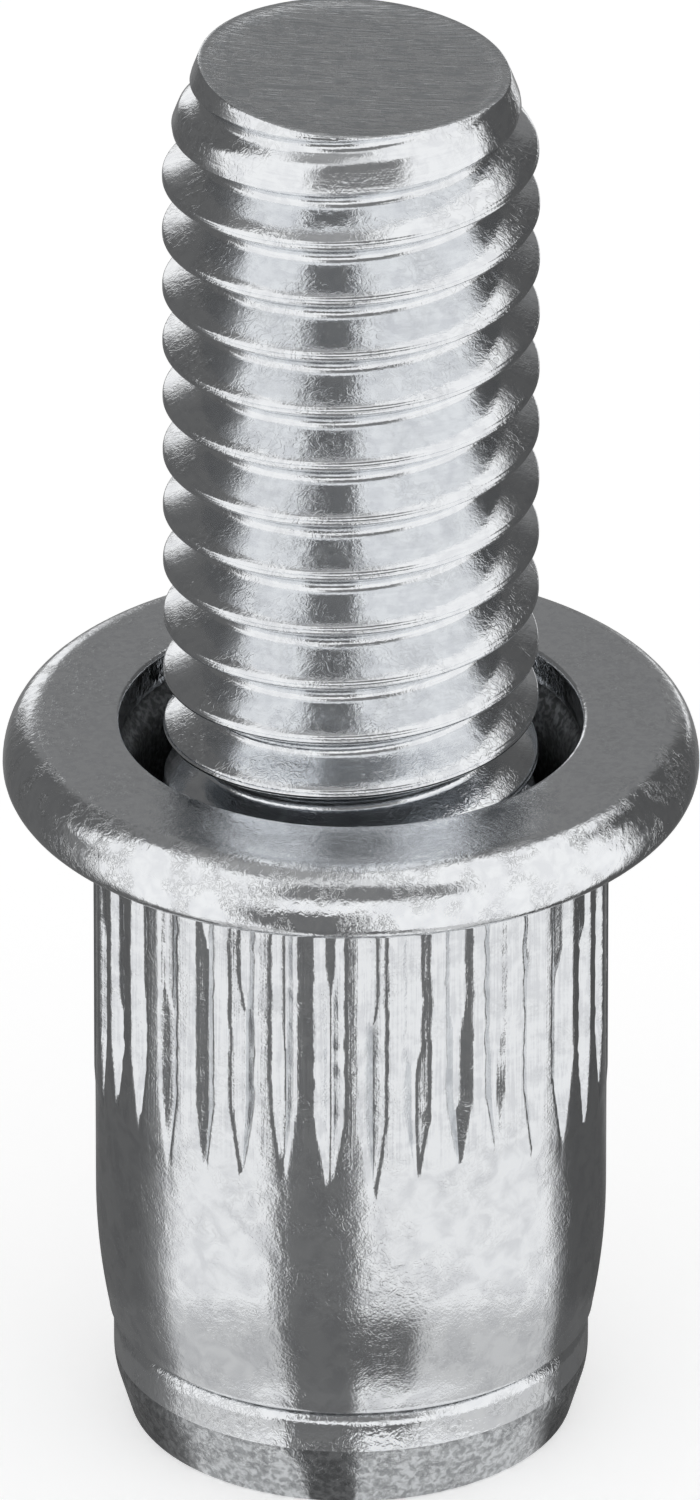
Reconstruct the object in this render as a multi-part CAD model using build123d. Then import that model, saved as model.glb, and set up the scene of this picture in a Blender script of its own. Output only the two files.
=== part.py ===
from build123d import *
import os
from math import ceil, pi, radians, tan

# Rivet stud M5: a threaded stud with a round head, held in a knurled sleeve with a flange.
# Millimetres. +Z runs along the thread, and Z = 0 is the flat underside of the head.
# Pulling the thread swells the sleeve behind a sheet and clamps it against the flange.

# ---- stud: head ----
head_diameter = 6.26
head_height = 1.47            # from the underside to the shoulder that carries the sleeve
head_wall_height = 0.72       # straight part of the side, below the shoulder
head_draft = 16.7             # degrees, taper of the side below the straight part
head_blend_radius = 1.0       # between the straight part and the taper
head_foot_chamfer = 0.1

# ---- stud: shank, thread and end ----
shank_diameter = 4.44         # rolling blank, left plain below the thread
thread_rise = 0.23            # rolling lifts the crest this far above the blank
thread_pitch = 0.8
thread_depth = 0.49           # crest to root
thread_half_angle = 30        # degrees, each flank from square to the axis
thread_start_z = 9.3          # where the groove's first turn begins, on the +X side
thread_lead_in = 0.5          # plain crest below the groove's first turn
stud_projection = 9.48        # from the top of the flange to the end face
end_taper_length = 1.15       # tapered tip above the full thread
end_taper_angle = 20.4        # degrees
end_face_tilt = 3.4           # degrees, the cropped end leans towards +X
end_dish_diameter = 3.5
end_dish_depth = 0.07

# ---- sleeve ----
sleeve_length = 8.7           # from the head's shoulder to the top of the flange
flange_diameter = 9.11
flange_thickness = 1.0        # the rim is fully rounded over this
barrel_diameter = 6.72
lip_diameter = 6.35           # drawn-in lower edge, which sits on the head
lip_chamfer = 0.08
lip_taper_length = 1.82       # the barrel curves in over this, smooth at its top
mouth_diameter = 6.06
mouth_depth = 0.45
mouth_chamfer = 0.07
chamber_diameter = 5.7        # thin wall that folds when the sleeve is set
chamber_cone_height = 0.28    # from the mouth down to the chamber
seat_bore_clearance = 0.02    # radial, round the plain shank
seat_bore_length = 2.1        # from the lip up
seat_cone_height = 0.45       # from the seat bore up to the chamber

# ---- knurl on the sleeve ----
knurl_count = 36
knurl_groove_share = 0.6      # groove width as a share of the knurl's pitch
knurl_depth = 0.14
knurl_length = 4.35           # from the flange down to the pointed ends
knurl_point_length = 1.15     # part of it in which the grooves run out
knurl_rise = 0.015            # rolled lands stand proud of the plain barrel
knurl_rise_margin = 0.12      # the proud lands end this far above the points
knurl_rise_run = 0.06

# ---- sizes that follow ----
shoulder_z = head_height
flange_top_z = shoulder_z + sleeve_length
flange_seat_z = flange_top_z - flange_thickness
end_z = flange_top_z + stud_projection
knurl_tip_z = flange_seat_z - knurl_length
barrel_radius = barrel_diameter / 2
land_radius = barrel_radius + knurl_rise
shank_radius = shank_diameter / 2
crest_radius = shank_radius + thread_rise
crest_start_z = thread_start_z - thread_lead_in
shank_top_z = crest_start_z - (crest_radius - shank_radius)
tip_top_z = end_z + crest_radius * tan(radians(end_face_tilt))


def make_sleeve_blank():
    """The turned sleeve before knurling: flange, barrel drawn in below, and the stepped bore."""
    lip_radius = lip_diameter / 2
    mouth_radius = mouth_diameter / 2
    chamber_radius = chamber_diameter / 2
    seat_radius = shank_radius + seat_bore_clearance
    rim_radius = (flange_diameter - flange_thickness) / 2
    rise_end_z = knurl_tip_z + knurl_rise_margin
    with BuildPart() as blank:
        with BuildSketch(Plane.XZ):
            with BuildLine():
                rim = ThreePointArc(
                    (rim_radius, flange_seat_z),
                    (flange_diameter / 2, flange_top_z - flange_thickness / 2),
                    (rim_radius, flange_top_z),
                )
                bore = Polyline(
                    rim @ 1,
                    (mouth_radius + mouth_chamfer, flange_top_z),
                    (mouth_radius, flange_top_z - mouth_chamfer),
                    (mouth_radius, flange_top_z - mouth_depth),
                    (chamber_radius, flange_top_z - mouth_depth - chamber_cone_height),
                    (chamber_radius, shoulder_z + seat_bore_length + seat_cone_height),
                    (seat_radius, shoulder_z + seat_bore_length),
                    (seat_radius, shoulder_z),
                    (lip_radius - lip_chamfer, shoulder_z),
                    (lip_radius, shoulder_z + lip_chamfer),
                )
                drawn_in = TangentArc(
                    (barrel_radius, shoulder_z + lip_taper_length), bore @ 1, tangent=(0, -1)
                )
                Polyline(
                    drawn_in @ 0,
                    (barrel_radius, rise_end_z),
                    (land_radius, rise_end_z + knurl_rise_run),
                    (land_radius, flange_seat_z),
                    rim @ 0,
                )
            make_face()
        revolve(axis=Axis.Z)
    return blank.part


def knurl_groove():
    """One V groove on the +X side: straight below the flange, then running out to a point."""
    half_width = pi * land_radius / knurl_count * knurl_groove_share
    spread = half_width / knurl_depth
    run_out_z = knurl_tip_z + knurl_point_length
    climb = (knurl_depth - knurl_rise) / knurl_point_length
    overrun = knurl_point_length / 3

    def section(z, root):
        """The V across the groove, its root this far out and its mouth clear of the lands."""
        outer = root + 2 * knurl_depth
        half_mouth = spread * (outer - root)
        return Face(Wire.make_polygon([(root, 0, z), (outer, half_mouth, z), (outer, -half_mouth, z)]))

    root = land_radius - knurl_depth
    straight = loft([section(flange_seat_z, root), section(run_out_z, root)], ruled=True)
    tip_root = barrel_radius + climb * overrun
    point = loft([section(run_out_z, root), section(knurl_tip_z - overrun, tip_root)], ruled=True)
    return straight + point


def make_sleeve():
    """Sleeve: one piece, with the knurl rolled into the barrel below the flange."""
    groove = knurl_groove()
    turns = [360 * (i + 0.5) / knurl_count for i in range(knurl_count)]
    return make_sleeve_blank() - [Rot(0, 0, turn) * groove for turn in turns]


def thread_turn():
    """One turn of the thread's groove, as the tool that cuts it: 60 degrees with a flat root."""
    overcut = thread_pitch / 16
    spread = tan(radians(thread_half_angle))
    half_mouth = thread_pitch * 7 / 16 + overcut * spread
    half_root = half_mouth - (thread_depth + overcut) * spread
    with BuildSketch(Plane.XZ) as section:
        with BuildLine():
            Polyline(
                (crest_radius - thread_depth, thread_start_z - half_root),
                (crest_radius + overcut, thread_start_z - half_mouth),
                (crest_radius + overcut, thread_start_z + half_mouth),
                (crest_radius - thread_depth, thread_start_z + half_root),
                close=True,
            )
        make_face()
    path = Helix(thread_pitch, thread_pitch, crest_radius, center=(0, 0, thread_start_z))
    return sweep(section.sketch, path=path, is_frenet=True)


def turned(corners):
    """A solid of revolution about Z from (radius, height) corners, each with its blend radius."""
    with BuildPart() as body:
        with BuildSketch(Plane.XZ):
            with BuildLine():
                points = [point for point, _ in corners]
                FilletPolyline(*points, radius=[radius for _, radius in corners], close=True)
            make_face()
        revolve(axis=Axis.Z)
    return body.part


def make_thread():
    """The threaded length: a bar with its right-hand groove, narrowed towards the tip."""
    bar_length = tip_top_z - shank_top_z
    bar = Pos(0, 0, shank_top_z + bar_length / 2) * Cylinder(crest_radius, bar_length)
    turn = thread_turn()
    turn_count = ceil((tip_top_z - thread_start_z) / thread_pitch + 0.5)
    grooved = bar - [Pos(0, 0, thread_pitch * i) * turn for i in range(turn_count)]
    taper_z = end_z - end_taper_length
    tip_radius = crest_radius - (tip_top_z - taper_z) * tan(radians(end_taper_angle))
    envelope = turned([
        ((0, shank_top_z), 0),
        ((shank_radius, shank_top_z), 0),
        ((crest_radius, crest_start_z), 0),
        ((crest_radius, taper_z), 0),
        ((tip_radius, tip_top_z), 0),
        ((0, tip_top_z), 0),
    ])
    return grooved & envelope


def make_head():
    """The head, with the shoulder that carries the sleeve, and the plain shank above it."""
    head_radius = head_diameter / 2
    draft_z = head_height - head_wall_height
    draft_slope = tan(radians(head_draft))
    foot_radius = head_radius - (draft_z - head_foot_chamfer) * draft_slope
    return turned([
        ((0, 0), 0),
        ((foot_radius - head_foot_chamfer, 0), 0),
        ((foot_radius, head_foot_chamfer), 0),
        ((head_radius, draft_z), head_blend_radius),
        ((head_radius, shoulder_z), 0),
        ((shank_radius, shoulder_z), 0),
        ((shank_radius, shank_top_z), 0),
        ((0, shank_top_z), 0),
    ])


def cropped_off():
    """What cropping takes off the tip: all above a leaning plane, and a shallow dish in the end."""
    reach = 2 * crest_radius
    end_plane = Pos(0, 0, end_z) * Rot(0, end_face_tilt, 0)
    above = end_plane * Pos(0, 0, reach / 2) * Box(2 * reach, 2 * reach, reach)
    half = end_dish_diameter / 2
    ball_radius = (half**2 + end_dish_depth**2) / (2 * end_dish_depth)
    ball = end_plane * Pos(0, 0, ball_radius - end_dish_depth) * Sphere(ball_radius)
    return [above, ball]


def make_stud():
    """Stud: round head, plain shank, rolled thread and a tapered, cropped end, all one piece."""
    return make_head() + make_thread() - cropped_off()


os.makedirs("parts", exist_ok=True)
nodes = {"sleeve": make_sleeve(), "stud": make_stud()}
for name, shape in nodes.items():
    export_step(shape, f"parts/{name}.step")
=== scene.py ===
"""Rivet stud M5 in bright zinc plate: its sleeve and its threaded stud, dressed for a studio view.

Everything is built in millimetres in the part's own frame (+Z along the thread, Z = 0 at the flat
underside of the head) and brought to metres at the end.
"""

import logging
import math
from collections.abc import Callable
from dataclasses import dataclass, field
from enum import Enum
from typing import Any

import bmesh
import bpy
from mathutils import Matrix, Vector, noise


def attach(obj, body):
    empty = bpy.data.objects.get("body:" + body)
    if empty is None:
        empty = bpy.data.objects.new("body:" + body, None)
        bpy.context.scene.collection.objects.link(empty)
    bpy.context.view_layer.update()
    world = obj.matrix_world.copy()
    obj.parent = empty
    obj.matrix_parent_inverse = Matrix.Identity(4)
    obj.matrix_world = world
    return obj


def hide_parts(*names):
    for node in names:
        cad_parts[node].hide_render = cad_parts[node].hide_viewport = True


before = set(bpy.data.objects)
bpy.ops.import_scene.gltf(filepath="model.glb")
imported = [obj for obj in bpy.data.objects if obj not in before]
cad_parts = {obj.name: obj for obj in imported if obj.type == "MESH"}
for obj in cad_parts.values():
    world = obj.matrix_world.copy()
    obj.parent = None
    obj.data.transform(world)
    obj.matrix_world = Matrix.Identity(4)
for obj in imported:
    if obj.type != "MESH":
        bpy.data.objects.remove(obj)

LOG = logging.getLogger("rivet_stud")
MM = 0.001
WELD = 0.002
UP = Vector((0.0, 0.0, 1.0))
# Colour that the creases are darkened towards, as painted shade in them.
CREASE_SHADE_COLOUR = "#4a4b4c"
WHITE = "#ffffff"
SMOOTH = {"interpolation_type": "SMOOTHSTEP"}

# An edge between two faces is shaded sharp from this angle up, in degrees.
SHARP_EDGE = 48.0
# How near a face's centre comes to a limit and still counts as on it, in mm.
ON_LIMIT = 0.001
# Noise values between which dull bloom turns to clean plate, and how far dull_share lifts them.
BLOOM_EDGES = (0.2, 0.5)
BLOOM_SHIFT = 0.3
# A crease shows where its noise is this near to 0.5. Creases keep to patches, which are this many
# times as large as their noise and fade in between two values.
CREASE_WIDTH = 0.1
CREASE_PATCH_SIZE = 5
CREASE_PATCH_EDGES = (0.44, 0.6)
# Strokes that start at a height fade in from this far below it to this far above it, in mm.
STROKE_FADE = 0.3


# ---------------------------------------------------------------- small helpers


def linear_colour(hex_code: str) -> tuple[float, float, float, float]:
    """Turns a colour as written on a swatch into the linear values that the shaders use.

    Args:
        hex_code: sRGB colour such as "#b9bcc0".

    Returns:
        Linear red, green, blue and an alpha of one.
    """
    channels = [int(hex_code[i:i + 2], 16) / 255.0 for i in (1, 3, 5)]
    linear = [c / 12.92 if c <= 0.04045 else ((c + 0.055) / 1.055) ** 2.4 for c in channels]
    return linear[0], linear[1], linear[2], 1.0


def add_node(
    tree: bpy.types.NodeTree,
    kind: str,
    settings: dict[str, Any] | None = None,
    inputs: dict[str | int, Any] | None = None,
) -> bpy.types.Node:
    """Adds one node to a tree, with its settings and what goes into its sockets.

    Args:
        tree: The node tree that gets the node.
        kind: The node's type name, without the ShaderNode that they all start with.
        settings: Properties of the node itself.
        inputs: Sockets by name or number, each with a constant or with the output that feeds it.

    Returns:
        The new node.
    """
    node = tree.nodes.new("ShaderNode" + kind)
    for name, value in (settings or {}).items():
        setattr(node, name, value)
    for socket, value in (inputs or {}).items():
        if isinstance(value, bpy.types.NodeSocket):
            tree.links.new(value, node.inputs[socket])
        else:
            node.inputs[socket].default_value = value
    return node


def cleared_tree(owner: bpy.types.Material | bpy.types.World) -> bpy.types.NodeTree:
    """Gives a material or a world an empty node tree."""
    owner.use_nodes = True
    owner.node_tree.nodes.clear()
    return owner.node_tree


def smoothstep(low: float, high: float, value: float) -> float:
    """Runs smoothly from 0 at low to 1 at high."""
    t = min(max((value - low) / (high - low), 0.0), 1.0)
    return t * t * (3.0 - 2.0 * t)


class Outline:
    """An outline in the XZ plane, drawn corner by corner, from which a piece is turned."""

    def __init__(self, radius: float, height: float) -> None:
        """Starts the outline at a radius and a height, in millimetres."""
        self.mesh = bmesh.new()
        start = bmesh.ops.create_vert(self.mesh, co=(radius, 0.0, height))
        self.tip = start["vert"][0]

    def line(self, radius: float, height: float, rows: int = 1) -> "Outline":
        """Draws a straight stretch.

        Args:
            radius: Where the stretch ends, from the axis.
            height: Where it ends, up the axis.
            rows: How many equal lengths it is made of.

        Returns:
            The outline, so that calls follow one another.
        """
        step = (Vector((radius, 0.0, height)) - self.tip.co) / rows
        for _ in range(rows):
            grown = bmesh.ops.extrude_vert_indiv(self.mesh, verts=[self.tip])
            self.tip = grown["verts"][0]
            bmesh.ops.translate(self.mesh, verts=[self.tip], vec=step)
        return self

    def arc(self, radius: float, start: float, end: float, rows: int) -> "Outline":
        """Draws a round stretch that sets off from the tip.

        Args:
            radius: The arc's own radius.
            start: Direction from the arc's centre to the tip, in degrees from outwards to up.
            end: Direction from the centre to the arc's other end.
            rows: How many lengths it is made of.

        Returns:
            The outline, so that calls follow one another.
        """
        towards = Vector((math.cos(math.radians(start)), 0.0, math.sin(math.radians(start))))
        turned = bmesh.ops.spin(
            self.mesh,
            geom=[self.tip],
            cent=self.tip.co - radius * towards,
            axis=(0.0, -1.0, 0.0),
            angle=math.radians(end - start),
            steps=rows,
        )
        self.tip = next(g for g in turned["geom_last"] if isinstance(g, bmesh.types.BMVert))
        return self

    def close(self) -> "Outline":
        """Joins the tip to the start."""
        self.mesh.verts.ensure_lookup_table()
        self.mesh.edges.new((self.tip, self.mesh.verts[0]))
        return self

    def sweep(self, columns: int, angle: float, rise: float, count: int) -> bmesh.types.BMesh:
        """Sweeps the outline round the axis, and repeats the swept stretch end to end.

        A full turn without rise closes on itself, so its last column is merged with its first.

        Args:
            columns: Steps in one stretch.
            angle: How far one stretch goes round, in radians.
            rise: How far it climbs.
            count: How many stretches there are.

        Returns:
            The swept surface, each stretch joined to the next.
        """
        bmesh.ops.spin(
            self.mesh,
            geom=self.mesh.verts[:] + self.mesh.edges[:],
            cent=(0.0, 0.0, 0.0),
            axis=UP,
            dvec=(0.0, 0.0, rise / columns),
            angle=angle,
            steps=columns,
            use_merge=angle == math.tau and rise == 0.0,
        )
        stretch = self.mesh.verts[:] + self.mesh.edges[:] + self.mesh.faces[:]
        for number in range(1, count):
            copied = bmesh.ops.duplicate(self.mesh, geom=stretch)["geom"]
            place = Matrix.Translation(UP * rise * number) @ Matrix.Rotation(angle * number, 4, UP)
            verts = [g for g in copied if isinstance(g, bmesh.types.BMVert)]
            bmesh.ops.transform(self.mesh, matrix=place, verts=verts)
        bmesh.ops.remove_doubles(self.mesh, verts=self.mesh.verts, dist=WELD)
        return self.mesh


def add_object(
    mesh: bmesh.types.BMesh, name: str, materials: list[bpy.types.Material]
) -> bpy.types.Object:
    """Puts a surface in the scene.

    Args:
        mesh: The surface in metres, which is freed.
        name: Its name.
        materials: Its materials, in the order of its faces' indices.

    Returns:
        The new object.
    """
    data = bpy.data.meshes.new(name)
    mesh.to_mesh(data)
    mesh.free()
    for material in materials:
        data.materials.append(material)
    added = bpy.data.objects.new(name, data)
    bpy.context.scene.collection.objects.link(added)
    return added


def cut(mesh: bmesh.types.BMesh, height: float, facing: Vector, **cleared: bool) -> None:
    """Cuts a surface along a plane and clears one side of it.

    Args:
        mesh: The surface.
        height: Where the plane crosses the axis.
        facing: Which way the plane faces.
        cleared: clear_inner for what lies behind the plane, or clear_outer for the rest.
    """
    bmesh.ops.bisect_plane(
        mesh,
        geom=mesh.verts[:] + mesh.edges[:] + mesh.faces[:],
        plane_co=UP * height,
        plane_no=facing,
        **cleared,
    )


def finish_piece(
    mesh: bmesh.types.BMesh,
    name: str,
    finishes: list["Finish"],
    zone_of: Callable[[Vector, Vector], "Zone"],
    node: str,
) -> bpy.types.Object:
    """Makes a piece of a surface in millimetres, in place of its CAD node.

    Args:
        mesh: The closed surface.
        name: The piece's name.
        finishes: Its finishes, one for each zone that it has.
        zone_of: Gives the zone of a face from its centre in millimetres and its normal.
        node: The CAD node that it stands for.

    Returns:
        The piece, riding on the part's one body.
    """
    bmesh.ops.recalc_face_normals(mesh, faces=mesh.faces)
    zones = [finish.zone for finish in finishes]
    for face in mesh.faces:
        face.smooth = True
        face.material_index = zones.index(zone_of(face.calc_center_median(), face.normal))
    for edge in mesh.edges:
        edge.smooth = len(edge.link_faces) == 2 and edge.calc_face_angle() < math.radians(SHARP_EDGE)
    bmesh.ops.scale(mesh, vec=(MM, MM, MM), verts=mesh.verts)
    piece = add_object(mesh, name, [finish.material() for finish in finishes])
    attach(piece, "root")
    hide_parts(node)
    piece.data.calc_loop_triangles()
    LOG.info("%s: %d triangles in place of %s", name, len(piece.data.loop_triangles), node)
    return piece


# ---------------------------------------------------------------- finishes


class Zone(Enum):
    """The differently worked surfaces of the part."""

    DRAWN_BARREL = "zinc plate on the drawn and knurled barrel"
    PRESSED_FLANGE = "zinc plate on the pressed flange face"
    TUMBLED_RIM = "zinc plate on the tumbled rim"
    # The bore's colour is thin, dull plate, darkened further as painted shade.
    DULL_AND_SHADED_BORE = "thin zinc plate deep in the bore"
    ROLLED_THREAD = "zinc plate on the rolled thread"
    CROPPED_END = "zinc plate on the cropped end"
    HEADED_BAND = "zinc plate on the headed band"
    DIE_MARKED_TAPER = "zinc plate on the die marked taper"


class Run(Enum):
    """Which way strokes run, as the axes (X, Y, Z) that their length is laid along."""

    ROUND = (True, True, False)
    UPRIGHT = (False, False, True)
    ACROSS = (True, False, False)


@dataclass(frozen=True)
class Strokes:
    """Fine strokes all one way, as a roll or a die leaves them on the metal.

    Attributes:
        width: Spacing of the strokes, in mm.
        length: Their length, in mm.
        height: How far they stand out, in mm.
        stain: How far they dull the plate, from 0 to 1.
        run: Which way they run.
        bend: How far they wander off it.
        above: Height on the part from which they show, in mm, or None for everywhere.
    """

    width: float
    length: float
    height: float
    stain: float = 0.0
    run: Run = Run.ROUND
    bend: float = 0.0
    above: float | None = None

    def draw(
        self, tree: bpy.types.NodeTree, millimetres: bpy.types.NodeSocket
    ) -> bpy.types.NodeSocket:
        """Draws the strokes.

        Args:
            tree: The material's node tree.
            millimetres: The piece's coordinates in millimetres.

        Returns:
            The strokes, from -0.5 to 0.5, and 0 where there are none.
        """
        scale = tuple(1 / (self.length if along else self.width) for along in self.run.value)
        scaled = add_node(
            tree,
            "Mapping",
            {"vector_type": "POINT"},
            {"Vector": millimetres, "Scale": scale},
        ).outputs["Vector"]
        drawn = add_node(
            tree,
            "TexNoise",
            {"noise_dimensions": "3D"},
            {
                "Vector": scaled,
                "Scale": 1.0,
                "Detail": 2.0,
                "Roughness": 0.6,
                "Distortion": self.bend,
            },
        ).outputs["Fac"]
        centred = add_node(tree, "Math", {"operation": "SUBTRACT"}, {0: drawn, 1: 0.5}).outputs[0]
        if self.above is None:
            return centred
        split = add_node(tree, "SeparateXYZ", inputs={0: millimetres})
        shown = add_node(
            tree,
            "MapRange",
            SMOOTH,
            {
                "Value": split.outputs["Z"],
                "From Min": self.above - STROKE_FADE,
                "From Max": self.above + STROKE_FADE,
            },
        ).outputs["Result"]
        return add_node(tree, "Math", {"operation": "MULTIPLY"}, {0: centred, 1: shown}).outputs[0]


@dataclass(frozen=True)
class Finish:
    """Bright zinc plate over steel, as one kind of working leaves it.

    Zinc plate is a pale, faintly blue metal that mirrors its surroundings. What differs from
    zone to zone is how far the steel below was dimpled, scored or roughened before plating.
    The plate's real grain, scores and creases are a few thousandths of a millimetre across, too
    fine to show, so they are drawn from 0.03 mm up, as coarse as they need to be.

    Attributes:
        zone: Where the finish is found.
        bright: Colour of clean plate.
        dull: Colour of the plate where it has bloomed.
        dull_share: How much of the surface has, from 0 to 1.
        bloom: Size of the bloom's patches, in mm.
        roughness: Roughness of clean plate.
        dull_roughness: Roughness of the bloom.
        grain: Size of the plate's fine grain, in mm.
        grain_height: Height of that grain, in mm.
        dimple: Size of the hammered dimples, in mm.
        dimple_height: Height of the dimples, in mm.
        crease: Size of the field that sharp creases run round, in mm, or 0 for none.
        crease_height: Height of the creases, in mm.
        crease_shade: How far the creases are darkened as painted shade, from 0 to 1.
        strokes: The strokes that working left.
    """

    zone: Zone
    bright: str = "#eceef0"
    dull: str = "#cdd0d3"
    dull_share: float = 0.4
    bloom: float = 0.2
    roughness: float = 0.14
    dull_roughness: float = 0.3
    grain: float = 0.035
    grain_height: float = 0.0012
    dimple: float = 0.15
    dimple_height: float = 0.004
    crease: float = 0.0
    crease_height: float = 0.002
    crease_shade: float = 0.0
    strokes: tuple[Strokes, ...] = ()

    def material(self) -> bpy.types.Material:
        """Builds the finish as a node material on the piece's own coordinates.

        Returns:
            The material, made once and then shared.
        """
        name = self.zone.value.replace(" ", "_")
        made = bpy.data.materials.get(name)
        if made:
            return made
        made = bpy.data.materials.new(name)
        tree = cleared_tree(made)
        place = add_node(tree, "TexCoord").outputs["Object"]
        millimetres = add_node(
            tree,
            "Mapping",
            {"vector_type": "POINT"},
            {"Vector": place, "Scale": (1 / MM, 1 / MM, 1 / MM)},
        ).outputs["Vector"]
        grain = self.noise(tree, millimetres, self.grain, 3.0, 0.3)
        dimple = self.noise(tree, millimetres, self.dimple, 2.0, 0.8)
        relief = [(grain, self.grain_height), (dimple, self.dimple_height)]
        cloud = self.noise(tree, millimetres, self.bloom, 6.0, 0.5)
        for stroke in self.strokes:
            drawn = stroke.draw(tree, millimetres)
            relief.append((drawn, stroke.height))
            cloud = add_node(
                tree,
                "Math",
                {"operation": "MULTIPLY_ADD"},
                {0: drawn, 1: stroke.stain, 2: cloud},
            ).outputs[0]
        bloom = add_node(
            tree,
            "MapRange",
            SMOOTH,
            {
                "Value": cloud,
                "From Min": BLOOM_EDGES[0] + BLOOM_SHIFT * self.dull_share,
                "From Max": BLOOM_EDGES[1] + BLOOM_SHIFT * self.dull_share,
            },
        ).outputs["Result"]
        colour = add_node(
            tree,
            "Mix",
            {"data_type": "RGBA"},
            {"Factor": bloom, 6: linear_colour(self.dull), 7: linear_colour(self.bright)},
        ).outputs[2]
        roughness = add_node(
            tree,
            "MapRange",
            inputs={"Value": bloom, "To Min": self.dull_roughness, "To Max": self.roughness},
        ).outputs["Result"]
        if self.crease:
            creases = self.creases(tree, millimetres)
            relief.append((creases, self.crease_height))
            # Painted shade in the creases: the colour is darkened along them.
            crease_shading = add_node(
                tree, "Math", {"operation": "MULTIPLY"}, {0: creases, 1: self.crease_shade}
            ).outputs[0]
            colour = add_node(
                tree,
                "Mix",
                {"data_type": "RGBA"},
                {"Factor": crease_shading, 6: colour, 7: linear_colour(CREASE_SHADE_COLOUR)},
            ).outputs[2]
        height: float | bpy.types.NodeSocket = 0.0
        for layer, tall in relief:
            height = add_node(
                tree,
                "Math",
                {"operation": "MULTIPLY_ADD"},
                {0: layer, 1: tall, 2: height},
            ).outputs[0]
        bump = add_node(
            tree,
            "Bump",
            inputs={"Height": height, "Distance": MM, "Strength": 1.0},
        ).outputs["Normal"]
        shader = add_node(
            tree,
            "BsdfPrincipled",
            inputs={"Base Color": colour, "Metallic": 1.0, "Roughness": roughness, "Normal": bump},
        )
        add_node(tree, "OutputMaterial", inputs={"Surface": shader.outputs["BSDF"]})
        return made

    @staticmethod
    def noise(
        tree: bpy.types.NodeTree,
        place: bpy.types.NodeSocket,
        size: float,
        detail: float,
        distortion: float,
    ) -> bpy.types.NodeSocket:
        """Adds a soft noise.

        Args:
            tree: The material's node tree.
            place: The coordinates that it follows, in millimetres.
            size: Size of its largest lumps, in mm.
            detail: How many times it is repeated at half the size.
            distortion: How far its lumps are drawn out of round.

        Returns:
            The noise, from 0 to 1.
        """
        return add_node(
            tree,
            "TexNoise",
            {"noise_dimensions": "3D"},
            {"Vector": place, "Scale": 1 / size, "Detail": detail, "Distortion": distortion},
        ).outputs["Fac"]

    def creases(
        self, tree: bpy.types.NodeTree, millimetres: bpy.types.NodeSocket
    ) -> bpy.types.NodeSocket:
        """Draws the sharp creases that forming leaves in patches of the plate.

        Args:
            tree: The material's node tree.
            millimetres: The piece's coordinates in millimetres.

        Returns:
            The creases' height from 0 to 1.
        """
        field_noise = self.noise(tree, millimetres, self.crease, 2.0, 1.5)
        distance = add_node(
            tree, "Math", {"operation": "SUBTRACT"}, {0: field_noise, 1: 0.5}
        ).outputs[0]
        apart = add_node(tree, "Math", {"operation": "ABSOLUTE"}, {0: distance})
        line = add_node(
            tree,
            "MapRange",
            SMOOTH,
            {"Value": apart.outputs[0], "From Min": CREASE_WIDTH, "From Max": 0.0},
        ).outputs["Result"]
        patch = add_node(
            tree,
            "MapRange",
            SMOOTH,
            {
                "Value": self.noise(tree, millimetres, self.crease * CREASE_PATCH_SIZE, 1.0, 0.0),
                "From Min": CREASE_PATCH_EDGES[0],
                "From Max": CREASE_PATCH_EDGES[1],
            },
        ).outputs["Result"]
        return add_node(tree, "Math", {"operation": "MULTIPLY"}, {0: line, 1: patch}).outputs[0]


# ---------------------------------------------------------------- the two pieces


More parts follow.
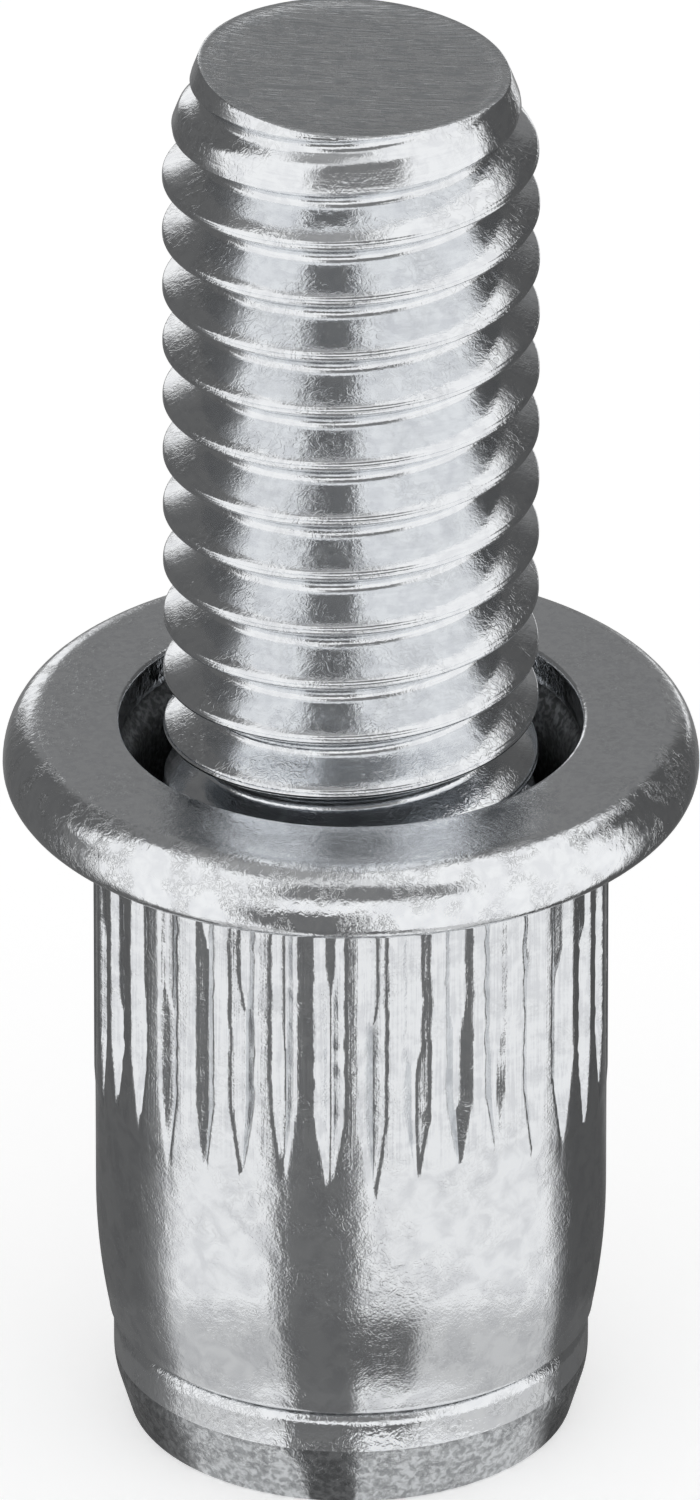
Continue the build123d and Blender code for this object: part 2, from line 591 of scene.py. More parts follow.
@dataclass
class Sleeve:
    """The cold-formed sleeve: flange, knurled barrel drawn in below, and stepped bore.

    Sizes are in millimetres. The fillets and the rim's foot and side are closer to the real form
    than the CAD solid's chamfers and round rim, and the other sizes are the solid's own. What
    starts with torn, drift, uneven or fill says how far the knurl's grooves differ from an even V.
    """

    bottom: float = 1.47
    top: float = 10.17
    flange_thickness: float = 1.0
    flange_radius: float = 4.555
    rim_foot: float = 0.35
    rim_side: float = 0.9
    rim_side_lean: float = 20.0
    barrel_radius: float = 3.36
    lip_radius: float = 3.175
    lip_fillet: float = 0.09
    lip_taper: float = 1.82
    mouth_radius: float = 3.03
    mouth_depth: float = 0.45
    mouth_fillet: float = 0.07
    chamber_radius: float = 2.85
    chamber_cone: float = 0.28
    seat_radius: float = 2.24
    seat_length: float = 2.1
    seat_cone: float = 0.45
    neck_fillet: float = 0.1
    knurl_count: int = 36
    knurl_share: float = 0.6
    knurl_depth: float = 0.14
    knurl_length: float = 4.35
    knurl_point: float = 1.15
    knurl_rise: float = 0.015
    groove_scatter: float = 1.6
    groove_round: float = 0.008
    drift: float = 0.03
    torn: float = 0.035
    torn_fray: float = 0.02
    torn_from: float = 0.2
    uneven_length: float = 0.2
    uneven_depth: float = 0.3
    filled_from: float = 7.4
    fill_fade: float = 0.3
    fill_share: float = 0.45
    fill_scatter: float = 0.2
    fill_score: float = 0.009
    fill_round: float = 0.01
    fill_reach: float = 0.1
    flat_from: float = 0.97
    columns_per_groove: int = 16
    knurl_seed: int = 1
    finishes: list[Finish] = field(default_factory=lambda: [
        # Plate over steel drawn through a die and knurled: a soft mirror below, and fine
        # upright scores where the knurl was rolled.
        Finish(Zone.DRAWN_BARREL, bright="#e3e5e7", dull="#d3d5d8", bloom=0.3, roughness=0.1,
               dull_roughness=0.16, dimple=0.3, dimple_height=0.006, crease=0.13,
               crease_height=0.0008, crease_shade=0.1, grain=0.035, grain_height=0.0026, strokes=(
                   Strokes(0.035, 1.3, 0.003, stain=0.8, run=Run.UPRIGHT, above=5.3),
                   Strokes(0.05, 0.16, 0.003, stain=0.2, above=5.3),
               )),
        # Plate over a face pressed flat: an even, faintly hammered sheen.
        Finish(Zone.PRESSED_FLANGE, dull="#e2e4e7", bloom=0.1, roughness=0.12,
               dull_roughness=0.17, dimple=0.12, dimple_height=0.005, crease=0.1,
               crease_height=0.001, crease_shade=0.12, grain=0.03, grain_height=0.0024),
        # Plate over an edge that tumbling rubbed smooth: a clear mirror with sharp creases.
        Finish(Zone.TUMBLED_RIM, dull="#e2e4e7", roughness=0.07, dull_roughness=0.1,
               dimple=0.12, dimple_height=0.006, crease=0.08, crease_height=0.0014,
               crease_shade=0.26, grain=0.03, grain_height=0.0014),
        # Plating hardly reaches down the bore: thin, gray and dull, and darkened further as painted
        # shade in the bore.
        Finish(Zone.DULL_AND_SHADED_BORE, bright="#a6a8aa", dull="#737475", bloom=0.08, roughness=0.4,
               dull_roughness=0.55, dull_share=0.6),
    ])

    @property
    def seat_z(self) -> float:
        """Height of the flange's underside."""
        return self.top - self.flange_thickness

    @property
    def knurl_tip(self) -> float:
        """Height at which the knurl's grooves come to a point."""
        return self.seat_z - self.knurl_length

    def outline(self) -> Outline:
        """Draws the sleeve's closed outline, from the seat bore's foot round to it again.

        Returns:
            The outline, in millimetres.
        """
        drop = self.barrel_radius - self.lip_radius
        taper_radius = (self.lip_taper**2 + drop**2) / (2 * drop)
        lean = math.degrees(math.asin((self.lip_taper - self.lip_fillet) / taper_radius))
        foot = self.barrel_radius - taper_radius * (1 - math.cos(math.radians(lean)))
        foot_z = self.bottom + self.lip_taper - taper_radius * math.sin(math.radians(lean))
        tuck = self.lip_fillet * math.cos(math.radians(lean))
        land = self.barrel_radius + self.knurl_rise
        lift = math.sin(math.radians(self.rim_side_lean))
        crown = (self.flange_thickness - self.rim_foot - self.rim_side * lift) / (1 - lift)
        drawn = Outline(self.seat_radius, self.bottom)
        drawn.line(foot - tuck, self.bottom, 3)
        drawn.arc(self.lip_fillet, -90.0, -lean, 5)
        drawn.line(foot, foot_z)
        drawn.arc(taper_radius, -lean, 0.0, 12)
        drawn.line(self.barrel_radius, self.knurl_tip - 0.05, 5)
        drawn.line(land, self.knurl_tip + 0.2, 6)
        drawn.line(land, self.knurl_tip + self.knurl_point, 12)
        drawn.line(land, self.seat_z - self.neck_fillet, 44)
        drawn.arc(self.neck_fillet, 180.0, 90.0, 4)
        drawn.line(self.flange_radius - self.rim_foot, self.seat_z, 4)
        drawn.arc(self.rim_foot, -90.0, 0.0, 9)
        drawn.arc(self.rim_side, 0.0, self.rim_side_lean, 5)
        drawn.arc(crown, self.rim_side_lean, 90.0, 12)
        drawn.line(self.mouth_radius + self.mouth_fillet, self.top, 7)
        drawn.arc(self.mouth_fillet, 90.0, 180.0, 5)
        step = self.top - self.mouth_depth
        drawn.line(self.mouth_radius, step, 3)
        drawn.line(self.chamber_radius, step - self.chamber_cone, 3)
        drawn.line(self.chamber_radius, self.bottom + self.seat_length + self.seat_cone, 5)
        drawn.line(self.seat_radius, self.bottom + self.seat_length, 2)
        drawn.line(self.seat_radius, self.bottom + self.seat_length / 4, 3)
        return drawn.close()

    def knurl(self, mesh: bmesh.types.BMesh) -> None:
        """Rolls the knurl into the barrel: V grooves that run out to points near its middle.

        No two grooves are quite alike, their edges are torn a little, and above filled_from the
        metal has flowed back into them. The bare numbers inside the noises set how fast each one
        changes, and keep it apart from the others.

        Args:
            mesh: The turned sleeve.
        """
        # Unless it is seeded, noise_vector starts from a shift that the clock gives.
        noise.seed_set(self.knurl_seed)
        pitch = math.tau / self.knurl_count
        half_width = pitch / 2 * self.knurl_share * self.barrel_radius
        slope = self.knurl_depth / half_width
        for vert in mesh.verts:
            radius = math.hypot(vert.co.x, vert.co.y)
            height = vert.co.z
            if radius < self.lip_radius or not self.knurl_tip - 0.15 <= height < self.seat_z:
                continue
            angle = math.atan2(vert.co.y, vert.co.x)
            groove = math.floor(angle / pitch)
            own = noise.noise_vector(Vector((groove * 3.7, 1.3, 0.6))) * self.groove_scatter
            across = (angle / pitch - groove - 0.5) * pitch * self.barrel_radius
            across -= self.drift * own.x
            side = math.copysign(2.0, across)
            torn = noise.noise(Vector((groove * 7.3, height * 5.0, side)))
            frayed = noise.noise(Vector((groove * 5.1, height * 12.0, side)))
            above_tip = height - self.knurl_tip + self.uneven_length * own.y
            run = min(max(above_tip / self.knurl_point, 0.0), 1.0)
            outer = smoothstep(self.torn_from * half_width, half_width, abs(across))
            edge = abs(across) + (self.torn * torn + self.torn_fray * frayed) * run * outer
            depth = self.knurl_depth * (1 + self.uneven_depth * own.z) * run - slope * edge
            above_fill = height - self.filled_from - own.x
            filled = smoothstep(-self.fill_fade, self.fill_fade, above_fill)
            share = self.fill_share + self.fill_scatter * own.y
            bed = self.knurl_depth * (1.0 - share * filled)
            scored = noise.noise(Vector((across * 40.0, groove * 2.9, height * 0.3)))
            spill = depth - bed - self.fill_score * scored * filled
            if spill > -self.fill_reach:
                depth -= 0.5 * (spill + math.hypot(spill, self.fill_round))
            rounded = 0.5 * (depth + math.hypot(depth, self.groove_round))
            vert.co.xy *= 1 - rounded / radius

    def build(self) -> bpy.types.Object:
        """Builds the sleeve in place of its CAD node.

        Returns:
            The finished piece.
        """
        mesh = self.outline().sweep(
            self.columns_per_groove, math.tau / self.knurl_count, 0.0, self.knurl_count
        )
        self.knurl(mesh)
        return finish_piece(mesh, "plated_sleeve", self.finishes, self.zone_of, "sleeve")

    def zone_of(self, centre: Vector, normal: Vector) -> Zone:
        """Says which finish a face of the sleeve has.

        Args:
            centre: The face's centre, in millimetres.
            normal: The face's normal.

        Returns:
            The zone that the face is in.
        """
        radius = math.hypot(centre.x, centre.y)
        if radius < self.mouth_radius - ON_LIMIT:
            return Zone.DULL_AND_SHADED_BORE
        if centre.z < self.seat_z - ON_LIMIT:
            return Zone.DRAWN_BARREL
        if normal.z > self.flat_from:
            return Zone.PRESSED_FLANGE
        return Zone.TUMBLED_RIM


@dataclass
class Stud:
    """The stud: round head, plain shank, rolled right-hand thread and a cropped, tapered end.

    Sizes are in millimetres and angles in degrees. Each ring of the end is a share of the end's
    size, and its height above the cut. The zones are measured down from the end and up the head.
    """

    head_radius: float = 3.13
    head_height: float = 1.47
    head_wall: float = 0.72
    head_draft: float = 16.7
    head_blend: float = 1.0
    head_corner: float = 0.22
    foot_fillet: float = 0.1
    shank_radius: float = 2.22
    crest_radius: float = 2.45
    pitch: float = 0.8
    depth: float = 0.49
    half_angle: float = 30.0
    crest_round: float = 0.055
    root_round: float = 0.11
    seam_depth: float = 0.02
    first_groove: float = 9.3
    thread_foot: float = 8.95
    end_z: float = 19.65
    end_taper: float = 1.15
    end_angle: float = 20.4
    end_tilt: float = 3.4
    end_lip: float = 0.02
    tip_round: float = 0.03
    tip_reach: float = 0.4
    neck: float = 0.1
    end_zone: float = 0.6
    end_flat_from: float = 0.9
    band_zone: float = 0.15
    end_rings: tuple[tuple[float, float], ...] = (
        (0.99, 0.012), (0.975, 0.019), (0.96, 0.02), (0.94, 0.014), (0.91, -0.004),
        (0.87, -0.022), (0.8, -0.034), (0.65, -0.043), (0.45, -0.049), (0.2, -0.05),
        (0.02, -0.05),
    )
    columns: int = 180
    finishes: list[Finish] = field(default_factory=lambda: [
        # Plate over flanks that the rolls burnished: a clear mirror, drawn out round the
        # thread.
        Finish(Zone.ROLLED_THREAD, dull="#e2e4e7", roughness=0.07, dull_roughness=0.12,
               dimple=0.14, dimple_height=0.0035, crease=0.16, crease_height=0.0012,
               crease_shade=0.12, grain=0.03, grain_height=0.0016, strokes=(
                   Strokes(0.03, 0.6, 0.0014, stain=0.45),
               )),
        # Plate over a face torn by cropping: rough, with strokes across it that scatter
        # light.
        Finish(Zone.CROPPED_END, roughness=0.22, dull_roughness=0.36, dimple=0.3,
               dimple_height=0.004, grain=0.03, grain_height=0.0012, strokes=(
                   Strokes(0.06, 1.1, 0.012, stain=1.4, run=Run.ACROSS, bend=2.0),
               )),
        # Plate over a band upset in the heading die: a clear, slightly rippled mirror.
        Finish(Zone.HEADED_BAND, dull="#e6e8eb", roughness=0.07, dull_roughness=0.12,
               dimple=0.1, dimple_height=0.007, crease=0.1, crease_height=0.0014,
               crease_shade=0.25, grain=0.03, grain_height=0.0014),
        # Plate over the mottled face that the die leaves: gray, with a dark speckle.
        Finish(Zone.DIE_MARKED_TAPER, bright="#c9cbcd", dull="#96989a", bloom=0.09,
               dull_share=0.5, roughness=0.15, dull_roughness=0.26, dimple=0.09,
               dimple_height=0.009, crease=0.08, crease_height=0.002, crease_shade=0.3,
               grain=0.035, grain_height=0.003),
    ])

    def thread(self) -> bmesh.types.BMesh:
        """Winds the thread: round root, flank, and a crest with the seam that rolling leaves.

        Returns:
            The thread as an open surface, longer at both ends than it will be.
        """
        flank_turn = 90.0 - self.half_angle
        lean = math.radians(self.half_angle)
        rounds = self.root_round + self.crest_round
        flank = (self.depth - rounds * (1 - math.sin(lean))) / math.cos(lean)
        flat = self.pitch / 2 - rounds * math.cos(lean) - flank * math.sin(lean)
        climb = Vector((flank * math.cos(lean), 0.0, flank * math.sin(lean)))
        start = self.first_groove - self.pitch
        wound = Outline(self.crest_radius - self.depth, start)
        wound.arc(self.root_round, 180.0, 180.0 - flank_turn, 5)
        foot = wound.tip.co.copy()
        wound.line(foot.x + climb.x, foot.z + climb.z, 4)
        wound.arc(self.crest_round, -flank_turn, 0.0, 4)
        middle = start + self.pitch / 2
        wound.line(self.crest_radius - self.seam_depth, middle, 2)
        wound.line(self.crest_radius, middle + flat, 2)
        wound.arc(self.crest_round, 0.0, flank_turn, 4)
        top = wound.tip.co.copy()
        wound.line(top.x - climb.x, top.z + climb.z, 4)
        wound.arc(self.root_round, 180.0 + flank_turn, 180.0, 5)
        turns = math.ceil((self.end_z - start) / self.pitch) + 1
        return wound.sweep(self.columns, math.tau, self.pitch, turns)

    def shape_ends(self, mesh: bmesh.types.BMesh) -> None:
        """Lets the groove run out in the bore, and tapers the thread towards the cropped end.

        Args:
            mesh: The wound thread.
        """
        taper_z = self.end_z - self.end_taper
        slope = math.tan(math.radians(self.end_angle))
        for vert in mesh.verts:
            radius = math.hypot(vert.co.x, vert.co.y)
            fade = smoothstep(self.thread_foot, self.first_groove, vert.co.z)
            wanted = self.crest_radius + (radius - self.crest_radius) * fade
            cone = self.crest_radius - (vert.co.z - taper_z) * slope
            gap = wanted - cone
            if gap > -self.tip_reach:
                wanted = cone + 0.5 * (gap - math.hypot(gap, self.tip_round))
            vert.co.xy *= wanted / radius

    def crop(self, mesh: bmesh.types.BMesh) -> None:
        """Cuts the thread off square in the bore and slantwise at the end, and caps the end.

        Args:
            mesh: The thread with its ends shaped.
        """
        tilt = math.radians(self.end_tilt)
        slant = Vector((math.sin(tilt), 0.0, math.cos(tilt)))
        cut(mesh, self.thread_foot, UP, clear_inner=True)
        cut(mesh, self.end_z - self.end_lip, slant, clear_outer=True)
        bmesh.ops.remove_doubles(mesh, verts=mesh.verts, dist=WELD)
        rim = [e for e in mesh.edges if e.is_boundary and e.verts[0].co.z > self.end_z - self.end_taper]
        size, height = 1.0, 0.0
        for next_size, next_height in self.end_rings:
            grown = bmesh.ops.extrude_edge_only(mesh, edges=rim)["geom"]
            verts = [g for g in grown if isinstance(g, bmesh.types.BMVert)]
            rim = [g for g in grown if isinstance(g, bmesh.types.BMEdge)]
            shrink = Matrix.Scale(next_size / size, 4)
            centre = Vector((0.0, 0.0, self.end_z - self.end_lip)) + slant * height
            lift = Matrix.Translation(slant * (next_height - height))
            place = lift @ Matrix.Translation(centre) @ shrink @ Matrix.Translation(-centre)
            bmesh.ops.transform(mesh, matrix=place, verts=verts)
            size, height = next_size, next_height
        bmesh.ops.contextual_create(mesh, geom=rim)

    def head(self) -> bmesh.types.BMesh:
        """Turns the head and the plain shank, open at the top where the thread joins it.

        Returns:
            The surface of revolution.
        """
        draft_z = self.head_height - self.head_wall
        slope = math.tan(math.radians(self.head_draft))
        lean = -self.head_draft
        setback = self.head_blend * math.tan(math.radians(self.head_draft / 2))
        foot_set = self.foot_fillet * math.tan(math.radians((90.0 - self.head_draft) / 2))
        foot_radius = self.head_radius - draft_z * slope
        turned = Outline(0.0, 0.0)
        turned.line(foot_radius - foot_set, 0.0, 8)
        turned.arc(self.foot_fillet, -90.0, lean, 5)
        blend_z = draft_z - setback * math.cos(math.radians(self.head_draft))
        turned.line(self.head_radius - (draft_z - blend_z) * slope, blend_z, 6)
        turned.arc(self.head_blend, lean, 0.0, 6)
        turned.line(self.head_radius, self.head_height - self.head_corner, 5)
        turned.arc(self.head_corner, 0.0, 90.0, 8)
        turned.line(self.shank_radius, self.head_height, 3)
        blank_z = self.thread_foot - self.neck - (self.crest_radius - self.shank_radius)
        turned.line(self.shank_radius, blank_z, 6)
        turned.line(self.crest_radius, self.thread_foot - self.neck, 2)
        return turned.sweep(self.columns, math.tau, 0.0, 1)

    def build(self) -> bpy.types.Object:
        """Builds the stud in place of its CAD node.

        Returns:
            The finished piece.
        """
        mesh = self.thread()
        self.shape_ends(mesh)
        self.crop(mesh)
        joined = bpy.data.meshes.new("head_and_shank")
        self.head().to_mesh(joined)
        mesh.from_mesh(joined)
        bpy.data.meshes.remove(joined)
        bmesh.ops.bridge_loops(mesh, edges=[e for e in mesh.edges if e.is_boundary])
        return finish_piece(mesh, "plated_stud", self.finishes, self.zone_of, "stud")

    def zone_of(self, centre: Vector, normal: Vector) -> Zone:
        """Says which finish a face of the stud has.

        Args:
            centre: The face's centre, in millimetres.
            normal: The face's normal.

        Returns:
            The zone that the face is in.
        """
        if centre.z > self.end_z - self.end_zone and normal.z > self.end_flat_from:
            return Zone.CROPPED_END
        if centre.z > self.head_height + 0.01:
            return Zone.ROLLED_THREAD
        if centre.z > self.head_height - self.head_wall + self.band_zone:
            return Zone.HEADED_BAND
        return Zone.DIE_MARKED_TAPER


# ---------------------------------------------------------------- the studio


@dataclass(frozen=True)
class Panel:
    """A card near the object, or a gap between cards, as a patch of the sphere round it.

    Attributes:
        azimuth: Its two sides, in degrees from the front (-Y), positive towards +X.
        elevation: Its foot and its top, in degrees above the horizon.
        level: How bright the card is. At 1 or more it is a gap, which shows the background.
        soft: Width of its blurred edges, in degrees of azimuth and of elevation.
    """

    azimuth: tuple[float, float]
    elevation: tuple[float, float]
    level: float
    soft: tuple[float, float] = (12.0, 12.0)


@dataclass
class Studio:
    """A white background and floor, gray cards that the metal mirrors, and a long lens.

    Bright metal takes its darks from what stands round it, so the cards give them, and the cards
    on the floor also carry a painted shadow of the lens and painted shade close round the object.
    They hide nothing from the camera and cast no shadow. Distances are in millimetres, angles in
    degrees.

    Attributes:
        base_level: Brightness of the cards where no panel covers them.
        panels: Cards and gaps, each laid over those before it.
        view_elevation: How far the lens looks down.
        view_distance: From the lens to its aim. Much further off, the side views are clipped away.
        view_height: Height that the lens takes in at its aim.
        glossy_bounces: Enough for light to get out of the narrow bore.
        floor_lift: Light of the floor's own, for the rays that see the background.
        light_level: Brightness of the background for the rays that only light the floor.
        card_lift: How far the cards on the floor lie above it.
        sheet_reach: Distance at which the floor is seen at view_elevation below the object.
        sheet_centre: Where the cards on the floor are centred, along Y.
        shadow_ring_reach: Radius of the floor's ring in which the painted shadow of the lens lies.
        shadow_ring_fade: Distances from that ring's middle at which it has faded out and is whole.
        shadow_ring_drop: How much lower the ring's cards are taken from.
        gap_from: Level at which a card begins to clear into a gap.
    """

    base_level: float = 0.22
    panels: tuple[Panel, ...] = (
        # Overhead, then the sides: left, front with the lens in it, and right.
        Panel((-200.0, 200.0), (64.0, 95.0), 0.36),
        Panel((-97.0, -24.0), (6.0, 61.0), 1.16, (10.0, 10.0)),
        Panel((-85.0, -24.0), (-40.0, 10.0), 1.16, (12.0, 8.0)),
        Panel((-112.0, -80.0), (44.0, 66.0), 1.10, (10.0, 10.0)),
        Panel((-24.0, 60.0), (-40.0, 58.0), 0.22, (16.0, 10.0)),
        Panel((-24.0, 60.0), (54.0, 78.0), 0.80, (20.0, 10.0)),
        Panel((-30.0, 60.0), (-40.0, 12.0), 1.00, (16.0, 8.0)),
        Panel((18.0, 120.0), (-40.0, 10.0), 1.12, (40.0, 10.0)),
        Panel((36.0, 120.0), (0.0, 50.0), 1.12, (16.0, 10.0)),
        Panel((22.0, 142.0), (42.0, 95.0), 1.22, (20.0, 10.0)),
        # The two open corners behind the object's shoulders, and what shows past them.
        Panel((-152.0, -101.0), (-50.0, 50.0), 0.13, (12.0, 12.0)),
        Panel((97.0, 150.0), (-50.0, 44.0), 0.10, (12.0, 12.0)),
        Panel((-171.0, -156.0), (-12.0, 20.0), 1.10, (8.0, 8.0)),
        Panel((150.0, 168.0), (-22.0, -4.0), 1.10, (8.0, 8.0)),
        # The cards on the floor in front, in two tones, grayer close round the object as painted
        # shade, and with a painted shadow of the lens on them.
        Panel((-90.0, 102.0), (-95.0, -22.0), 1.00, (12.0, 10.0)),
        Panel((-90.0, 102.0), (-95.0, -38.0), 0.66, (12.0, 8.0)),
        Panel((-36.0, 4.0), (-62.0, -22.0), 0.18, (6.0, 6.0)),
        Panel((-33.0, 34.0), (-62.0, -36.0), 0.16, (6.0, 6.0)),
    )
    view_elevation: float = 28.0
    view_distance: float = 400.0
    view_height: float = 19.608
    aim: tuple[float, float, float] = (-0.013, 0.0, 9.66)
    sensor: float = 36.0
    glossy_bounces: int = 9
    floor_size: float = 2000.0
    floor_colour: str = "#f2f2f2"
    floor_lift: float = 0.47
    light_level: float = 0.62
    card_distance: float = 180.0
    card_height: float = 9.8
    card_lift: float = 0.02
    sheet_reach: float = 44.0
    sheet_centre: float = -2.1
    shadow_ring_reach: float = 4.7
    shadow_ring_fade: tuple[float, float] = (1.8, 1.2)
    shadow_ring_drop: float = 20.0
    gap_from: float = 0.95
    card_segments: int = 96

    def world(self) -> None:
        """Makes the world the white background, which the camera and the metal both see."""
        world = bpy.data.worlds.new("studio_background")
        bpy.context.scene.world = world
        tree = cleared_tree(world)
        strength = add_node(
            tree,
            "Mix",
            {"data_type": "FLOAT"},
            {"Factor": self.background_ray(tree), 2: self.light_level, 3: 1.0},
        ).outputs[0]
        glow = add_node(
            tree,
            "Background",
            inputs={"Color": linear_colour(WHITE), "Strength": strength},
        ).outputs[0]
        add_node(tree, "OutputWorld", inputs={"Surface": glow})

    @staticmethod
    def background_ray(tree: bpy.types.NodeTree) -> bpy.types.NodeSocket:
        """Tells the rays that see the white background: the camera's, and those of metal and glass.

        Args:
            tree: The node tree of the world or of the floor's material.

        Returns:
            1 for those rays and 0 for the others.
        """
        path = add_node(tree, "LightPath").outputs
        metal = add_node(
            tree,
            "Math",
            {"operation": "MAXIMUM"},
            {0: path["Is Camera Ray"], 1: path["Is Glossy Ray"]},
        ).outputs[0]
        return add_node(
            tree, "Math", {"operation": "MAXIMUM"}, {0: metal, 1: path["Is Transmission Ray"]}
        ).outputs[0]

    def floor(self) -> None:
        """Lays the pale floor, which keeps the object's shadow."""
        mesh = bmesh.new()
        bmesh.ops.create_grid(mesh, x_segments=1, y_segments=1, size=self.floor_size * MM / 2)
        paper = bpy.data.materials.new("white_backdrop_paper")
        tree = cleared_tree(paper)
        matt = add_node(
            tree, "BsdfDiffuse", inputs={"Color": linear_colour(self.floor_colour)}
        ).outputs[0]
        lift = add_node(
            tree,
            "Emission",
            inputs={"Color": linear_colour(WHITE), "Strength": self.floor_lift},
        ).outputs[0]
        lifted = add_node(tree, "AddShader", inputs={0: matt, 1: lift}).outputs[0]
        surface = add_node(
            tree, "MixShader", inputs={0: self.background_ray(tree), 1: matt, 2: lifted}
        ).outputs[0]
        add_node(tree, "OutputMaterial", inputs={"Surface": surface})
        add_object(mesh, "studio_floor", [paper])

    def cards(self) -> None:
        """Stands the cards round the object as a dome, and lays the rest of them on the floor.

        Only the metal sees them. Where no card is, it sees the white background and the floor.
        """
        dome = bmesh.new()
        bmesh.ops.create_uvsphere(
            dome,
            u_segments=self.card_segments,
            v_segments=self.card_segments // 2,
            radius=self.card_distance * MM,
        )
        bmesh.ops.translate(dome, verts=dome.verts, vec=UP * self.card_height * MM)
        cut(dome, self.card_lift * MM, UP, clear_inner=True)
        sheet = bmesh.new()
        bmesh.ops.create_circle(
            sheet, cap_ends=True, segments=self.card_segments, radius=self.card_distance * MM
        )
        bmesh.ops.translate(sheet, verts=sheet.verts, vec=UP * self.card_lift * MM)
        for mesh, name, lying in ((dome, "studio_cards", False), (sheet, "floor_cards_with_painted_shadow", True)):
            cards = add_object(mesh, name, [self.card_paper(name, lying)])
            for ray in ("camera", "diffuse", "transmission", "volume_scatter", "shadow"):
                setattr(cards, f"visible_{ray}", False)

    def card_paper(self, name: str, lying: bool) -> bpy.types.Material:
        """Makes the cards' paper, with each card drawn as a patch of the sphere round the object.

        Args:
            name: The material's name.
            lying: Whether the cards lie on the floor.

        Returns:
            The paper, which is clear where there is no card.
        """
        paper = bpy.data.materials.new(name)
        tree = cleared_tree(paper)
        place = add_node(tree, "TexCoord").outputs["Object"]
        away = add_node(
            tree,
            "VectorMath",
            {"operation": "SUBTRACT"},
            {0: place, 1: (0.0, self.sheet_centre * MM * lying, self.card_height * MM)},
        ).outputs[0]
        split = add_node(tree, "SeparateXYZ", inputs={0: away}).outputs
        forward = add_node(
            tree, "Math", {"operation": "MULTIPLY"}, {0: split["Y"], 1: -1.0}
        ).outputs[0]
        azimuth = add_node(
            tree, "Math", {"operation": "ARCTAN2"}, {0: split["X"], 1: forward}
        ).outputs[0]
        reach = add_node(
            tree,
            "VectorMath",
            {"operation": "LENGTH"},
            {0: add_node(
                tree,
                "VectorMath",
                {"operation": "MULTIPLY"},
                {0: away, 1: (1.0, 1.0, 0.0)},
            ).outputs[0]},
        ).outputs["Value"]
        drop = -self.sheet_reach * MM * math.tan(math.radians(self.view_elevation))
        elevation = add_node(
            tree,
            "Math",
            {"operation": "ARCTAN2"},
            {0: drop if lying else split["Z"], 1: reach},
        ).outputs[0]
        if lying:
            elevation = add_node(
                tree,
                "Math",
                {"operation": "MAXIMUM"},
                {0: elevation, 1: -math.radians(self.view_elevation)},
            ).outputs[0]
            # Close round the object the floor cards are taken from lower down, so that the painted
            # shadow of the lens and the painted shade lie there.
            elevation = add_node(
                tree,
                "Math",
                {"operation": "MULTIPLY_ADD"},
                {0: self.painted_shadow_ring(tree, reach), 1: -math.radians(self.shadow_ring_drop), 2: elevation},
            ).outputs[0]
        level = self.card_level(tree, azimuth, elevation)
        card = add_node(
            tree,
            "Emission",
            inputs={"Color": linear_colour(WHITE), "Strength": level},
        ).outputs[0]
        gap = add_node(
            tree,
            "MapRange",
            inputs={"Value": level, "From Min": self.gap_from, "From Max": 1.0},
        ).outputs["Result"]
        clear = add_node(tree, "BsdfTransparent").outputs[0]
        surface = add_node(tree, "MixShader", inputs={0: gap, 1: card, 2: clear}).outputs[0]
        add_node(tree, "OutputMaterial", inputs={"Surface": surface})
        return paper

    def painted_shadow_ring(
        self, tree: bpy.types.NodeTree, reach: bpy.types.NodeSocket
    ) -> bpy.types.NodeSocket:
        """Marks the ring close round the object in which the painted shadow of the lens lies.

        Args:
            tree: The material's node tree.
            reach: Distance from the sheet's centre, in metres.

        Returns:
            1 in the ring and 0 elsewhere.
        """
        middle = add_node(
            tree, "Math", {"operation": "SUBTRACT"}, {0: reach, 1: self.shadow_ring_reach * MM}
        ).outputs[0]
        apart = add_node(tree, "Math", {"operation": "ABSOLUTE"}, {0: middle}).outputs[0]
        return add_node(
            tree,
            "MapRange",
            SMOOTH,
            {
                "Value": apart,
                "From Min": self.shadow_ring_fade[0] * MM,
                "From Max": self.shadow_ring_fade[1] * MM,
            },
        ).outputs["Result"]

    def card_level(
        self,
        tree: bpy.types.NodeTree,
        azimuth: bpy.types.NodeSocket,
        elevation: bpy.types.NodeSocket,
    ) -> bpy.types.NodeSocket:
        """Draws the cards one over another.

        Args:
            tree: The material's node tree.
            azimuth: Direction from the front, in radians.
            elevation: Direction above the horizon, in radians.

        Returns:
            How bright the card is there, and 1 or more where there is a gap.
        """
        level: float | bpy.types.NodeSocket = self.base_level
        for panel in self.panels:
            mask = None
            sides = ((azimuth, panel.azimuth), (elevation, panel.elevation))
            for (angle, edges), soft in zip(sides, panel.soft):
                for edge, sign in zip(edges, (1.0, -1.0)):
                    ramp = add_node(
                        tree,
                        "MapRange",
                        SMOOTH,
                        {
                            "Value": angle,
                            "From Min": math.radians(edge - sign * soft / 2),
                            "From Max": math.radians(edge + sign * soft / 2),
                        },
                    ).outputs["Result"]
                    mask = ramp if mask is None else add_node(
                        tree, "Math", {"operation": "MULTIPLY"}, {0: mask, 1: ramp}
                    ).outputs[0]
            level = add_node(
                tree,
                "Mix",
                {"data_type": "FLOAT"},
                {"Factor": mask, 2: level, 3: panel.level},
            ).outputs[0]
        return level

    def camera(self) -> None:
        """Sets the long lens so that the object fills the frame."""
        data = bpy.data.cameras.new("studio_camera")
        data.sensor_width = self.sensor
        data.lens = self.sensor * self.view_distance / self.view_height
        camera = bpy.data.objects.new("studio_camera", data)
        bpy.context.scene.collection.objects.link(camera)
        tilt = math.radians(90.0 - self.view_elevation)
        back = Matrix.Rotation(tilt, 4, "X") @ Vector((0.0, 0.0, self.view_distance))
        camera.location = (Vector(self.aim) + back) * MM
        camera.rotation_euler = (tilt, 0.0, 0.0)
        bpy.context.scene.camera = camera

    def build(self) -> None:
        """Sets up the background, the floor, the cards, the camera and the plain view transform."""
        self.world()
        self.floor()
        self.cards()
        self.camera()
        bpy.context.scene.view_settings.view_transform = "Standard"
        bpy.context.scene.cycles.glossy_bounces = self.glossy_bounces


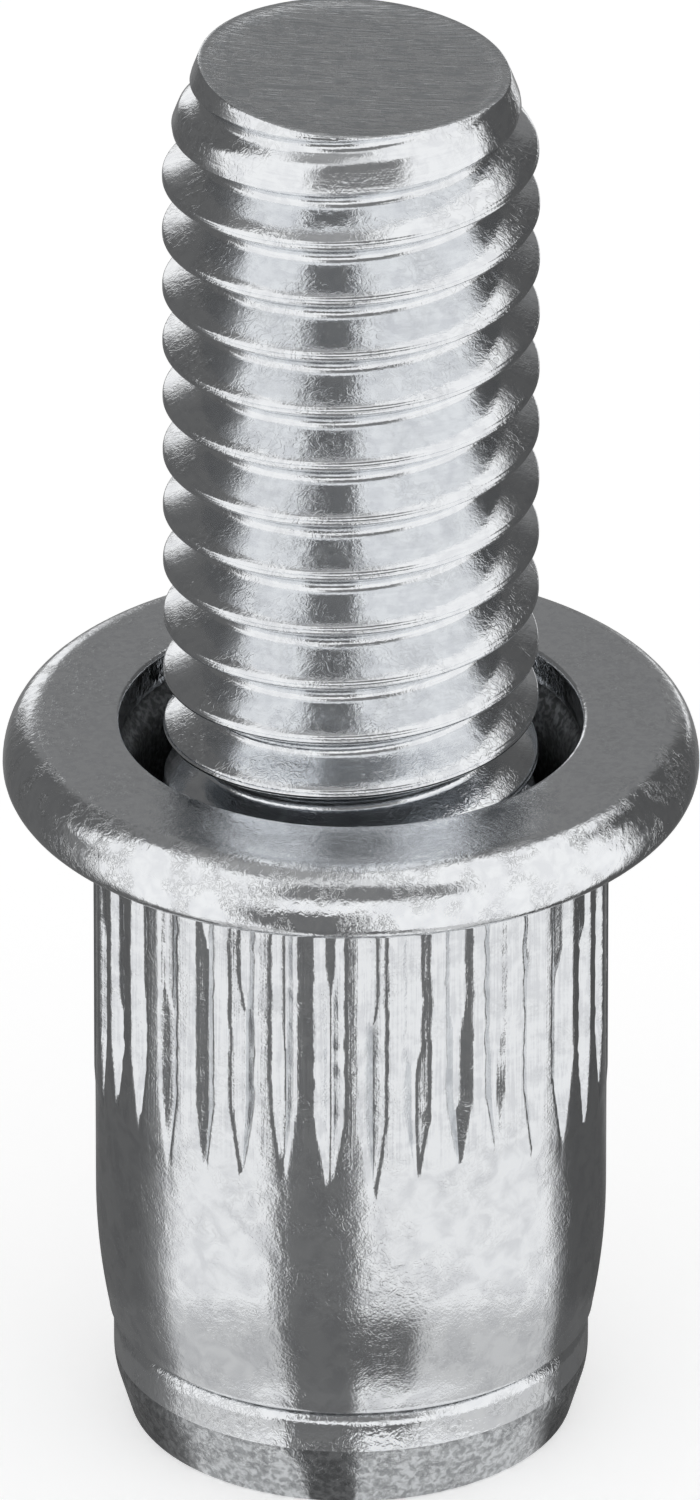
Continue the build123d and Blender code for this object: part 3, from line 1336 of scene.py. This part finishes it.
def main() -> None:
    """Builds the sleeve, the stud and the studio, and logs each piece that it built."""
    logging.basicConfig(level=logging.INFO, format="%(name)s: %(message)s")
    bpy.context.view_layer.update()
    for part in (Sleeve(), Stud()):
        piece = part.build()
        LOG.info("built %s", piece.name)
    Studio().build()


if __name__ == "__main__":
    main()
